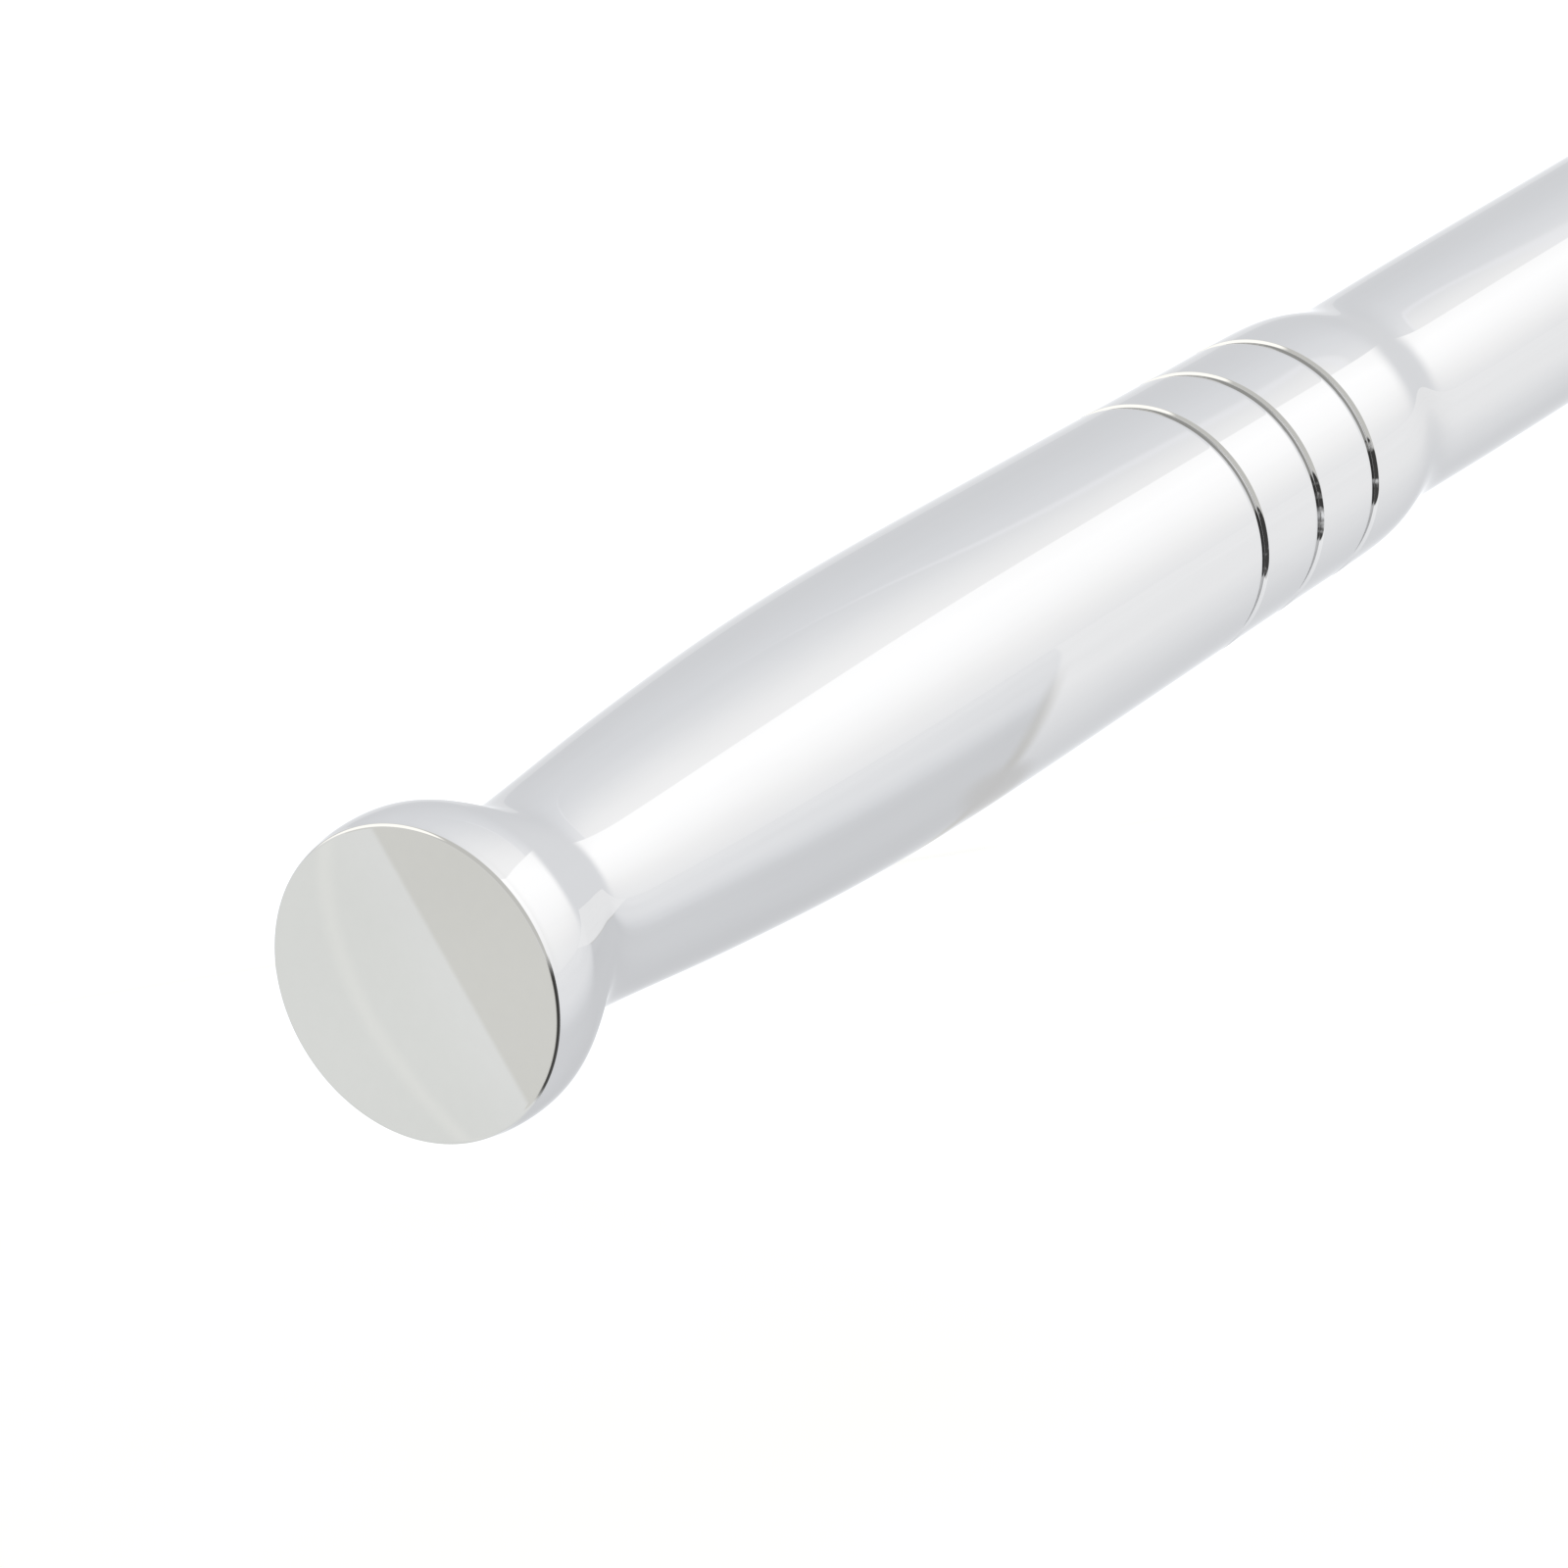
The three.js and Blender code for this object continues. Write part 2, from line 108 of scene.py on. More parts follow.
def make_camera():
    back = Vector((
        math.sin(CAMERA_AZIMUTH) * math.cos(CAMERA_ELEVATION),
        -math.cos(CAMERA_AZIMUTH) * math.cos(CAMERA_ELEVATION),
        math.sin(CAMERA_ELEVATION),
    ))
    right = Vector((math.cos(CAMERA_AZIMUTH), math.sin(CAMERA_AZIMUTH), 0))
    up = back.cross(right)
    data = bpy.data.cameras.new("camera")
    data.lens, data.sensor_width = LENS_MM, SENSOR_MM
    data.clip_start, data.clip_end = 0.05, 100
    camera = bpy.data.objects.new("camera", data)
    bpy.context.scene.collection.objects.link(camera)
    offset = back * CAMERA_BACK + right * CAMERA_RIGHT + up * CAMERA_UP
    camera.location = Vector((END_X, 0, AXIS_Z)) + offset * MM
    camera.rotation_mode = "QUATERNION"
    camera.rotation_quaternion = (-back).to_track_quat("-Z", "Y")
    bpy.context.scene.camera = camera


# ---- node trees ----
class Graph:
    """A short way to write node trees: each method adds a node and returns its output."""

    def __init__(self, tree):
        self.tree = tree

    def node(self, kind, **settings):
        made = self.tree.nodes.new(kind)
        for key, value in settings.items():
            setattr(made, key, value)
        return made

    def put(self, socket, value):
        if isinstance(value, bpy.types.NodeSocket):
            self.tree.links.new(value, socket)
        else:
            socket.default_value = value

    def math(self, operation, a, b=0.0, clamp=False):
        made = self.node("ShaderNodeMath", operation=operation, use_clamp=clamp)
        self.put(made.inputs[0], a)
        self.put(made.inputs[1], b)
        return made.outputs[0]

    def smooth(self, value, low, high, to_low=0.0, to_high=1.0):
        made = self.node("ShaderNodeMapRange", interpolation_type="SMOOTHSTEP")
        for i, v in enumerate((value, low, high, to_low, to_high)):
            self.put(made.inputs[i], v)
        return made.outputs[0]

    def ramp(self, value, stops):
        made = self.node("ShaderNodeValToRGB")
        elements = made.color_ramp.elements
        while len(elements) < len(stops):
            elements.new(0.5)
        for element, (place, colour) in zip(elements, stops):
            element.position = place
        for element, (place, colour) in zip(elements, stops):
            element.color = (*colour, 1)
        self.put(made.inputs[0], value)
        return made.outputs[0]

    def mix(self, factor, a, b, blend="MIX"):
        made = self.node("ShaderNodeMix", data_type="RGBA", blend_type=blend)
        self.put(made.inputs[0], factor)
        self.put(made.inputs[6], a)
        self.put(made.inputs[7], b)
        return made.outputs[2]

    def noise(self, vector, scale, detail=2.0, roughness=0.5):
        made = self.node("ShaderNodeTexNoise")
        self.put(made.inputs["Vector"], vector)
        made.inputs["Scale"].default_value = scale
        made.inputs["Detail"].default_value = detail
        made.inputs["Roughness"].default_value = roughness
        return made.outputs["Fac"]

    def stretched(self, scale):
        place = self.node("ShaderNodeTexCoord").outputs["Object"]
        made = self.node("ShaderNodeMapping")
        self.put(made.inputs["Vector"], place)
        made.inputs["Scale"].default_value = scale
        return made.outputs[0]


def new_material(name):
    material = bpy.data.materials.new(name)
    material.use_nodes = True
    material.node_tree.nodes.clear()
    g = Graph(material.node_tree)
    shader = g.node("ShaderNodeBsdfPrincipled")
    output = g.node("ShaderNodeOutputMaterial")
    g.put(output.inputs["Surface"], shader.outputs[0])
    return material, g, shader


def metal(name, light, dark, smooth, rough, grain, waviness, edge=0.25, rim=1.0):
    """Metal whose colour and roughness vary along fine polishing lines; grain is the lines'
    stretch, waviness the depth of the surface's slow unevenness in millimetres, edge the radius
    its edges are shaded with, rim how much of the extra shine at a glancing angle is kept."""
    material, g, shader = new_material(name)
    lines = g.noise(g.stretched(grain), 1.0, 4.0, 0.6)
    haze = g.noise(g.stretched((1, 1, 1)), 55.0, 3.0, 0.55)
    both = g.math("ADD", g.math("MULTIPLY", lines, 0.6), g.math("MULTIPLY", haze, 0.4))
    tone = g.smooth(both, 0.3, 0.7)
    g.put(shader.inputs["Base Color"], g.mix(tone, (*dark, 1), (*light, 1)))
    g.put(shader.inputs["Roughness"], g.smooth(both, 0.3, 0.75, rough, smooth))
    shader.inputs["Metallic"].default_value = 1.0
    shader.inputs["Specular Tint"].default_value = (rim, rim, rim, 1)
    swell = g.noise(g.stretched((1, 1, 1)), 120.0, 1.0, 0.4)
    bump = g.node("ShaderNodeBump")
    bump.inputs["Strength"].default_value = 1.0
    bump.inputs["Distance"].default_value = waviness * MM
    g.put(bump.inputs["Height"], g.math("ADD", swell, g.math("MULTIPLY", lines, 0.15)))
    if edge:
        rounding = g.node("ShaderNodeBevel", samples=4)
        rounding.inputs["Radius"].default_value = edge * MM
        g.put(bump.inputs["Normal"], rounding.outputs[0])
    g.put(shader.inputs["Normal"], bump.outputs[0])
    return material


def rubber(name):
    material, g, shader = new_material(name)
    grain = g.noise(g.stretched((1, 1, 1)), 2500.0, 3.0)
    g.put(shader.inputs["Base Color"], g.mix(grain, (0.012, 0.012, 0.013, 1), (0.03, 0.03, 0.032, 1)))
    g.put(shader.inputs["Roughness"], g.smooth(grain, 0.2, 0.8, 0.45, 0.7))
    return material


CHROME_RIM = 0.76
CHROME = metal("polished_chrome", (0.578, 0.578, 0.581), (0.570, 0.570, 0.573), smooth=0.008, rough=0.022,
               grain=(25, 900, 900), waviness=0.0006, edge=0, rim=CHROME_RIM)
TRIM = metal("chrome_trim", (0.578, 0.578, 0.581), (0.566, 0.566, 0.569), smooth=0.012, rough=0.03,
             grain=(400, 400, 400), waviness=0.0006, rim=CHROME_RIM)
SATIN = metal("satin_chrome", (0.56, 0.57, 0.58), (0.46, 0.47, 0.48), smooth=0.16, rough=0.26,
              grain=(1600, 1600, 60), waviness=0.003)
HARD = metal("ground_steel", (0.5, 0.5, 0.51), (0.36, 0.36, 0.37), smooth=0.18, rough=0.34,
             grain=(900, 900, 900), waviness=0.003)


def darken_edges(material):
    """Dark lines along the end's edge and at the foot of each groove's wall, on one side. They
    stand in for something dark reflected there, which the white table leaves no room for."""
    g = Graph(material.node_tree)
    shader = next(n for n in material.node_tree.nodes if n.type == "BSDF_PRINCIPLED")
    place = g.node("ShaderNodeSeparateXYZ")
    g.put(place.inputs[0], g.node("ShaderNodeTexCoord").outputs["Object"])
    x = g.math("MULTIPLY", g.math("SUBTRACT", place.outputs[0], END_X), 1 / MM)
    y, z = place.outputs[1], g.math("SUBTRACT", place.outputs[2], AXIS_Z)
    across = g.math("SQRT", g.math("ADD", g.math("MULTIPLY", y, y), g.math("MULTIPLY", z, z)))

    def facing(side_y, side_z):
        """The cosine of the angle round the handle from this direction."""
        along = g.math("ADD", g.math("MULTIPLY", y, side_y), g.math("MULTIPLY", z, side_z))
        return g.math("DIVIDE", along, across)

    in_groove = 0.0
    for i in range(GROOVE_COUNT):
        foot = g.math("SUBTRACT", x, GROOVE_FIRST + i * GROOVE_PITCH + FOOT_LINE[0])
        in_groove = g.math("ADD", line(g, foot, FOOT_LINE[1]), in_groove)
    narrowing = g.smooth(facing(-0.99, 0.139), 0.94, 0.99, -1, 0)
    patches = g.smooth(g.noise(g.stretched((1, 1, 1)), 900.0, 2.0), 0.3, 0.5)
    in_groove = g.smooth(g.math("ADD", in_groove, narrowing), 0.25, 0.5)
    in_groove = g.math("MULTIPLY", in_groove, patches)

    on_edge = line(g, g.math("SUBTRACT", x, EDGE_LINE[0]), EDGE_LINE[1])
    on_edge = g.math("MULTIPLY", on_edge, 3.0, clamp=True)
    on_edge = g.math("MULTIPLY", on_edge, g.smooth(facing(-0.996, -0.09), 0.87, 0.94))
    rim = g.smooth(across, 0.95 * END_FLAT_R * MM, 0.99 * END_FLAT_R * MM)
    dark = g.math("MAXIMUM", in_groove, g.math("MULTIPLY", on_edge, rim))

    colour = shader.inputs["Base Color"].links[0].from_socket
    g.put(shader.inputs["Base Color"], g.mix(dark, colour, (0.012, 0.011, 0.01, 1)))
    g.put(shader.inputs["Metallic"], g.math("SUBTRACT", 1.0, dark))
    rough = shader.inputs["Roughness"].links[0].from_socket
    g.put(shader.inputs["Roughness"], g.math("ADD", rough, g.math("MULTIPLY", dark, 0.4)))


def line(g, distance, width):
    """One on a line and fading to nought at this distance from it."""
    return g.smooth(g.math("ABSOLUTE", distance), 0, width, 1, 0)


darken_edges(CHROME)
SPRING = metal("spring_steel", (0.4, 0.4, 0.41), (0.26, 0.26, 0.27), smooth=0.22, rough=0.4,
               grain=(700, 700, 700), waviness=0.002)
RUBBER = rubber("nitrile")


# ---- meshes ----
def to_row(points):
    """Millimetres along the handle to metres in the row frame."""
    return np.asarray(points, float) * MM + np.array([END_X, 0, AXIS_Z])


def from_row(points):
    return (np.asarray(points, float) - np.array([END_X, 0, AXIS_Z])) / MM


def new_object(name, points, faces, material=None):
    mesh = bpy.data.meshes.new(name)
    mesh.from_pydata(to_row(points).tolist(), [], faces)
    mesh.validate()
    made = bpy.data.objects.new(name, mesh)
    bpy.context.scene.collection.objects.link(made)
    if material:
        mesh.materials.append(material)
    mesh.polygons.foreach_set("use_smooth", [True] * len(mesh.polygons))
    return made


def loft(name, rings, material=None):
    """Equal closed rings of points joined in order, with a flat face at each end."""
    rings = np.asarray(rings, float)
    count, size = rings.shape[:2]
    faces = [tuple(range(size))[::-1]]
    for i in range(count - 1):
        a, b = i * size, (i + 1) * size
        faces += [(a + k, a + (k + 1) % size, b + (k + 1) % size, b + k) for k in range(size)]
    faces.append(tuple(range((count - 1) * size, count * size)))
    made = new_object(name, rings.reshape(-1, 3), faces, material)
    outward(made)
    return made


def outward(piece):
    mesh = bmesh.new()
    mesh.from_mesh(piece.data)
    bmesh.ops.recalc_face_normals(mesh, faces=mesh.faces)
    mesh.to_mesh(piece.data)
    mesh.free()


AXES = {"x": (1, 2, 0), "y": (2, 0, 1), "z": (0, 1, 2)}  # the ring's two directions, then the axis


def turned(name, profile, axis="z", centre=(0, 0, 0), sides=96, material=None):
    """A profile of (along, radius) points turned about an axis; it starts and ends near it."""
    across, up, along = AXES[axis]
    angle = np.arange(sides) * 2 * math.pi / sides
    rings = []
    for height, radius in profile:
        ring = np.zeros((sides, 3))
        ring[:, across] = max(radius, 0.01) * np.cos(angle)
        ring[:, up] = max(radius, 0.01) * np.sin(angle)
        ring[:, along] = height
        rings.append(ring + np.array(centre))
    return loft(name, rings, material)


def eased(points, radius, steps=5):
    """The same profile with every inner corner rounded."""
    points = [np.array(p, float) for p in points]
    out = [points[0]]
    for before, corner, after in zip(points, points[1:], points[2:]):
        u, v = before - corner, after - corner
        lu, lv = np.linalg.norm(u), np.linalg.norm(v)
        turn = math.acos(max(-1, min(1, float(u @ v) / (lu * lv))))
        reach = min(radius / math.tan(turn / 2) if turn < 3.1 else 0, 0.45 * lu, 0.45 * lv)
        if reach < 1e-4:
            out.append(corner)
            continue
        a, b = corner + u / lu * reach, corner + v / lv * reach
        for i in range(steps + 1):
            t = i / steps
            out.append((1 - t) ** 2 * a + 2 * t * (1 - t) * corner + t * t * b)
    out.append(points[-1])
    return out


def arc(cx, cy, radius, start, end, steps):
    angle = np.radians(np.linspace(start, end, steps + 1))
    return np.stack([cx + radius * np.cos(angle), cy + radius * np.sin(angle)], 1)


def teardrop(big_x, big_r, small_x, small_r, steps=96):
    lean = math.degrees(math.asin((big_r - small_r) / abs(big_x - small_x)))
    big = arc(big_x, 0, big_r, -90 - lean, 90 + lean, steps)
    small = arc(small_x, 0, small_r, 90 + lean, 270 - lean, steps // 2)
    return np.concatenate([big, small])


def level(outline, z):
    return np.column_stack([outline, np.full(len(outline), z)])


def prism(name, outline, z0, z1, material=None):
    return loft(name, [level(outline, z0), level(outline, z1)], material)


def box(name, low, high):
    (x0, y0, z0), (x1, y1, z1) = low, high
    outline = np.array([(x0, y0), (x1, y0), (x1, y1), (x0, y1)], float)
    return prism(name, outline, z0, z1)


def combine(piece, others, operation="DIFFERENCE"):
    """Cuts or joins with closed helpers, which are then removed."""
    for other in others:
        step = piece.modifiers.new("step", "BOOLEAN")
        step.operation, step.object, step.solver = operation, other, "MANIFOLD"
    bpy.context.view_layer.update()
    depsgraph = bpy.context.evaluated_depsgraph_get()
    mesh = bpy.data.meshes.new_from_object(piece.evaluated_get(depsgraph))
    piece.modifiers.clear()
    piece.data = mesh
    for other in others:
        bpy.data.objects.remove(other)
    return piece


def crisp(piece, degrees=32):
    """Smooth shading that breaks at edges, with large flat faces kept flat."""
    mesh = piece.data
    mesh.polygons.foreach_set("use_smooth", [True] * len(mesh.polygons))
    mesh.set_sharp_from_angle(angle=math.radians(degrees))
    weighted = piece.modifiers.new("weighted", "WEIGHTED_NORMAL")
    weighted.keep_sharp = True
    weighted.weight = 100


def finish_piece(piece, body, slot, material, *nodes):
    piece.data.materials.clear()
    piece.data.materials.append(material)
    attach(piece, body)
    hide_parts(*nodes)


# ---- handle ----
def cubic(points):
    """A curve through the points with a continuous second derivative."""
    x, y = np.array(points, float).T
    n, h = len(x), np.diff(x)
    a, b = np.zeros((n, n)), np.zeros(n)
    a[0, 0] = a[-1, -1] = 1
    for i in range(1, n - 1):
        a[i, i - 1:i + 2] = h[i - 1], 2 * (h[i - 1] + h[i]), h[i]
        b[i] = 6 * ((y[i + 1] - y[i]) / h[i] - (y[i] - y[i - 1]) / h[i - 1])
    m = np.linalg.solve(a, b)

    def value(q):
        k = np.clip(np.searchsorted(x, q) - 1, 0, n - 2)
        left, right = x[k + 1] - q, q - x[k]
        linear = (y[k] / h[k] - m[k] * h[k] / 6) * left + (y[k + 1] / h[k] - m[k + 1] * h[k] / 6) * right
        return (m[k] * left ** 3 + m[k + 1] * right ** 3) / (6 * h[k]) + linear

    return value


EDGE_END = END_EDGE * (1 - math.cos(math.radians(EDGE_SWEEP)))
CONTOUR = cubic([(EDGE_END, END_FLAT_R + END_EDGE * math.sin(math.radians(EDGE_SWEEP)))] + GRIP)


def smoothstep(t):
    t = np.clip(t, 0, 1)
    return t * t * (3 - 2 * t)


def handle_radius(x):
    """The bar's radius before the yoke's flats are cut."""
    x = np.asarray(x, float)
    edge = END_FLAT_R + np.sqrt(np.clip(END_EDGE ** 2 - (x - END_EDGE) ** 2, 0, None))
    radius = np.where(x < EDGE_END, edge, CONTOUR(np.clip(x, EDGE_END, FLARE[0])))
    for i in range(GROOVE_COUNT):
        off = x - GROOVE_FIRST - i * GROOVE_PITCH
        slope = smoothstep((off + GROOVE_RAMP) / GROOVE_RAMP) ** 1.3
        wall = 1 - smoothstep((off - GROOVE_FOOT) / GROOVE_WALL)
        radius = radius - GROOVE_DEPTH * slope * wall
    start, end, gain = FLARE
    return radius + gain * smoothstep((x - start) / (end - start))


def soft_max(a, b, k):
    reach = np.maximum(k - np.abs(a - b), 0) / np.maximum(k, 1e-9)
    return np.maximum(a, b) + reach * reach * k / 4


def handle_field(x, y, z):
    """Negative inside the handle, positive outside, before the slot is cut."""
    radial = np.hypot(y, z) - handle_radius(x)
    k = YOKE_EDGE * smoothstep((x - FLARE[0]) / 20)
    height = np.where(x > PIVOT_X, np.hypot(x - PIVOT_X, z), np.abs(z)) - SHAFT_R
    shaped = soft_max(soft_max(np.abs(y) - YOKE_HALF_WIDTH, height, k), radial, k)
    return np.where(x > FLARE[0], shaped, radial)


SHADED_FROM, STEEPEST_SHADED = 3, 0.28  # past the flange's widest place; slope towards the head


def handle_normal(points):
    step = 0.004
    x, y, z = points.T
    gradient = np.stack([
        handle_field(x + step, y, z) - handle_field(x - step, y, z),
        handle_field(x, y + step, z) - handle_field(x, y - step, z),
        handle_field(x, y, z + step) - handle_field(x, y, z - step),
    ], 1)
    steep = STEEPEST_SHADED * np.hypot(gradient[:, 1], gradient[:, 2])
    # Shaded no steeper than this towards the head: the true slopes mirror each other to black.
    skin = (x > SHADED_FROM) & (x < FLARE[0])
    gradient[skin, 0] = np.minimum(gradient, steep[:, None])[skin, 0]
    radius = np.hypot(y, z)
    on_edge = x < EDGE_END
    away = np.maximum(radius - END_FLAT_R, 0)
    round_off = np.stack([x - END_EDGE, away * y / radius, away * z / radius], 1)
    gradient[on_edge] = round_off[on_edge]
    return gradient / np.maximum(np.linalg.norm(gradient, axis=1), 1e-12)[:, None]


def handle_stations():
    edge = END_EDGE * (1 - np.cos(np.radians(np.linspace(0, EDGE_SWEEP, 12))))
    parts = [edge, np.arange(0.6, 17, 0.3), np.arange(17.5, 101, 1.2)]
    for i in range(GROOVE_COUNT):
        centre = GROOVE_FIRST + i * GROOVE_PITCH
        parts += [
            centre + np.arange(-2, 0, 0.1), centre + np.arange(0, 0.5, 0.025),
            centre + np.arange(0.55, GROOVE_PITCH - 2.3 if i < GROOVE_COUNT - 1 else 2, 0.8),
        ]
    parts += [
        np.arange(124.3, 139, 0.3), np.arange(139.5, 203.5, 2), np.arange(204, PIVOT_X, 0.8),
        PIVOT_X + SHAFT_R * np.sin(np.radians(np.linspace(0, 88.5, 24))),
    ]
    stations = np.unique(np.round(np.concatenate(parts), 3))
    return stations[np.append(True, np.diff(stations) > 0.01)]


def make_handle(sides=216):
    angle = (np.arange(sides) + 0.5) * 2 * math.pi / sides
    cy, cz = np.cos(angle), np.sin(angle)
    rings = []
    for radius in (0.01, 4.0, 8.0, 11.0):
        rings.append(np.column_stack([np.zeros(sides), radius * cy, radius * cz]))
    for x in handle_stations():
        low, high = np.zeros(sides), np.full(sides, 20.0)
        for _ in range(40):
            middle = (low + high) / 2
            inside = handle_field(np.full(sides, x), middle * cy, middle * cz) < 0
            low, high = np.where(inside, middle, low), np.where(inside, high, middle)
        rings.append(np.column_stack([np.full(sides, x), low * cy, low * cz]))
    piece = loft("handle_forging", rings)
    tube = dict(axis="y", centre=(PIVOT_X, 0, 0), sides=72)
    combine(piece, [
        box("slot", (SLOT_BOTTOM_X, -SLOT_HALF, -20), (260, SLOT_HALF, 20)),
        turned("plunger_bore", [(213.5, 0), (213.5, 2.25), (231, 2.25), (231, 0)], "x", sides=48),
        turned("near_bore", eased([(-13, 0), (-13, 5.1), (-11.2, 5.1), (-10.9, 4.62), (-9, 4.62),
                                   (-9, 3.28), (0, 3.28), (0, 0)], 0.05, 2), **tube),
        turned("far_bore", [(0, 0), (0, 2.8), (10.9, 2.8), (11.2, 3.1), (13, 3.1), (13, 0)], **tube),
    ])
    shade_handle(piece)
    finish_piece(piece, "handle", "polished_chrome", CHROME, "handle")


def shade_handle(piece):
    """Exact normals on the forging's outer skin, flat ones on what was cut into it."""
    mesh = piece.data
    mesh.polygons.foreach_set("use_smooth", [True] * len(mesh.polygons))
    corners = np.zeros(len(mesh.loops), int)
    mesh.loops.foreach_get("vertex_index", corners)
    points = np.zeros(len(mesh.vertices) * 3)
    mesh.vertices.foreach_get("co", points)
    points = from_row(points.reshape(-1, 3))
    flat = np.zeros(len(mesh.polygons) * 3)
    mesh.polygons.foreach_get("normal", flat)
    sizes = np.zeros(len(mesh.polygons), int)
    mesh.polygons.foreach_get("loop_total", sizes)
    face_normals = np.repeat(flat.reshape(-1, 3), sizes, axis=0)
    exact = handle_normal(points)[corners]
    agree = np.sum(exact * face_normals, 1) > 0.93  # within about 21 degrees: the outer skin
    normals = np.where(agree[:, None], exact, face_normals)
    mesh.normals_split_custom_set(normals.tolist())


# ---- flex joint ----
def hexagon(across, turn=0.0):
    return arc(0, 0, across / 2, turn, turn + 300, 5)


def make_pivot_screw():
    profile = eased([(-11.15, 0), (-11.15, 4.5), (-9.05, 4.5), (-9.05, 3.2), (5.15, 3.2), (5.15, 2.7),
                     (11.2, 2.7), (11.2, 0)], 0.3)
    piece = turned("pivot_screw", profile, "y", (PIVOT_X, 0, 0), 96)
    socket = np.array([(PIVOT_X + a, 0, b) for a, b in hexagon(4.2)])
    rings = [socket + np.array([0, y, 0]) for y in (-12, -9.3)]
    combine(piece, [loft("socket", rings)])
    crisp(piece)
    finish_piece(piece, "handle", "hard_steel", HARD, "flex_pivot_screw")


def make_washers():
    for name, side in (("flex_washer_left", 1), ("flex_washer_right", -1)):
        low, high = sorted((4.65 * side, 5.15 * side))
        piece = turned(name + "_disc", eased([(low, 0), (low, 7), (high, 7), (high, 0)], 0.12, 3),
                       "y", (PIVOT_X, 0, 0), 96)
        bore = [(low - 1, 0), (low - 1, 3.4), (high + 1, 3.4), (high + 1, 0)]
        combine(piece, [turned("bore", bore, "y", (PIVOT_X, 0, 0), 72)])
        crisp(piece)
        finish_piece(piece, "handle", "spring_steel", SPRING, name)


# ---- head ----
SCREWS = [
    (DRIVE_X + 15.8 * math.cos(math.radians(a)), 15.8 * math.sin(math.radians(a)))
    for a in (-122, -45, 45, 122)
]


def head_outline(inset):
    return teardrop(DRIVE_X, HEAD_R - inset, NECK_X, NECK_R - inset, 120)


def make_head():
    rings = []
    for a in np.linspace(0, 90, 13):
        inset = HEAD_EDGE * (1 - math.sin(math.radians(a)))
        rings.append(level(head_outline(inset), HEAD_BOTTOM + HEAD_EDGE * (1 - math.cos(math.radians(a)))))
    fall, reach = 0.45, 6.5  # the drive side is slightly domed towards its rim
    for a in np.linspace(0, 80, 13):
        inset = HEAD_EDGE * (1 - math.cos(math.radians(a)))
        z = HEAD_TOP - fall - HEAD_EDGE * (1 - math.sin(math.radians(a)))
        rings.append(level(head_outline(inset), z))
    rim_inset, rim_z = inset, z
    for t in np.linspace(0.08, 1, 14):
        z = rim_z + (HEAD_TOP - rim_z) * (1 - (1 - t) ** 2.2)
        rings.append(level(head_outline(rim_inset + t * reach), z))
    piece = loft("head_forging", rings)
    tongue_side = np.concatenate([
        arc(PIVOT_X, 0, TONGUE_R, 90, 270, 64), [(256, -8.6)], [(256, 8.6)],
    ])
    tongue = [np.column_stack([tongue_side[:, 0], np.full(len(tongue_side), y), tongue_side[:, 1]])
              for y in (-TONGUE_HALF, TONGUE_HALF)]
    combine(piece, [loft("tongue", tongue)], "UNION")
    inner = HEAD_BOTTOM - 1
    floor = PLATE_TOP - 0.5
    pocket = np.concatenate([arc(DRIVE_X, 0, 17.9, 136, 224, 32), [(DRIVE_X, 0)]])
    combine(piece, [
        prism("recess", head_outline(PLATE_INSET), inner, PLATE_TOP),
        turned("gear_pocket", [(floor, 0), (floor, 13.1), (CAVITY_TOP, 13.1), (CAVITY_TOP, 0)],
               centre=(DRIVE_X, 0, 0)),
        prism("pawl_pocket", pocket, floor, CAVITY_TOP),
        turned("selector_pocket", [(floor, 0), (floor, 5.2), (CAVITY_TOP, 5.2), (CAVITY_TOP, 0)],
               centre=(SELECTOR_X, 0, 0), sides=72),
        box("passage", (SELECTOR_X, -5.1, floor), (DRIVE_X, 5.1, CAVITY_TOP)),
        turned("drive_bore", [(0, 0), (0, 9.58), (9.3, 9.58), (9.6, 9.8), (10.2, 10.6), (11, 10.6), (11, 0)],
               centre=(DRIVE_X, 0, 0), sides=144),
        turned("pin_hole", [(0, 0), (0, 1.15), (7.8, 1.15), (7.8, 0)], centre=(PAWL_X, 0, 0), sides=24),
        turned("pivot_bore", [(-13, 0), (-13, 3.3), (13, 3.3), (13, 0)], "y", (PIVOT_X, 0, 0), 72),
        *[turned("screw_hole", [(floor, 0), (floor, 1.3), (-1.2, 1.3), (-1.2, 0)], centre=(x, y, 0), sides=24)
          for x, y in SCREWS],
    ])
    crisp(piece)
    finish_piece(piece, "head", "polished_chrome", TRIM, "head_body")


def make_cover():
    gap = 0.08
    edge = ((0.3, HEAD_BOTTOM), (0.1, HEAD_BOTTOM + 0.08), (0, HEAD_BOTTOM + 0.3), (0, PLATE_TOP - 0.02))
    rings = [level(head_outline(PLATE_INSET + gap + inset), z) for inset, z in edge]
    piece = loft("cover", rings)
    sink = [(-9.6, 0), (-9.6, 2.9), (-9.3, 2.6), (-7.85, 1.3), (-6.5, 1.3), (-6.5, 0)]
    combine(piece, [
        turned("gear_hole", [(-10, 0), (-10, 7.48), (-6, 7.48), (-6, 0)], centre=(DRIVE_X, 0, 0), sides=120),
        turned("spindle_hole", [(-10, 0), (-10, 3.98), (-6, 3.98), (-6, 0)], centre=(SELECTOR_X, 0, 0)),
        *[turned("sink", sink, centre=(x, y, 0), sides=48) for x, y in SCREWS],
    ])
    crisp(piece)
    finish_piece(piece, "head", "polished_chrome", TRIM, "cover_plate")


